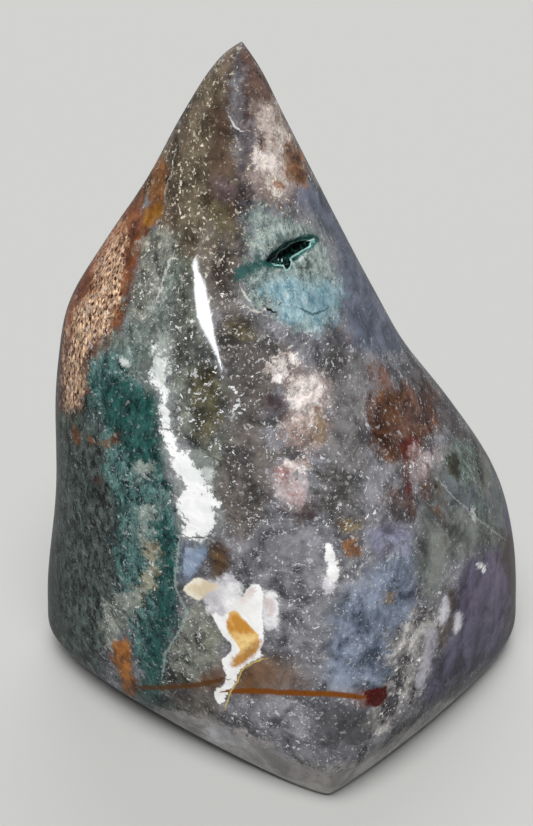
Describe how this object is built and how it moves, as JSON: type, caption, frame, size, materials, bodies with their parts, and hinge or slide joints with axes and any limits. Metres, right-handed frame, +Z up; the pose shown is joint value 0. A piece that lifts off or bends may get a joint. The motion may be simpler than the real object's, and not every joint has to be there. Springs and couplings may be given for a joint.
{
  "type": "polished ocean jasper flame",
  "caption": "Polished free-form flame of ocean jasper: a broad base with a small flat foot, a shoulder on one side and a pointed tip, with an open slit of a vug near the top.",
  "frame": {"origin": "on the surface that the stone stands on, under the middle of its box", "axes": "+Z up through the tip, +X to the side where the stone bulges out low down, -Y is the front, where the ridge meets the sharp corner of the base"},
  "size_m": [0.0948, 0.0806, 0.1312],
  "materials": {
    "polished_jasper": "high polish, slate grey chalcedony with teal green, copper brown, white, cream, amber, rust and lilac patches"
  },
  "bodies": {
    "root": {"jasper_flame": "polished_jasper"}
  },
  "joints": []
}
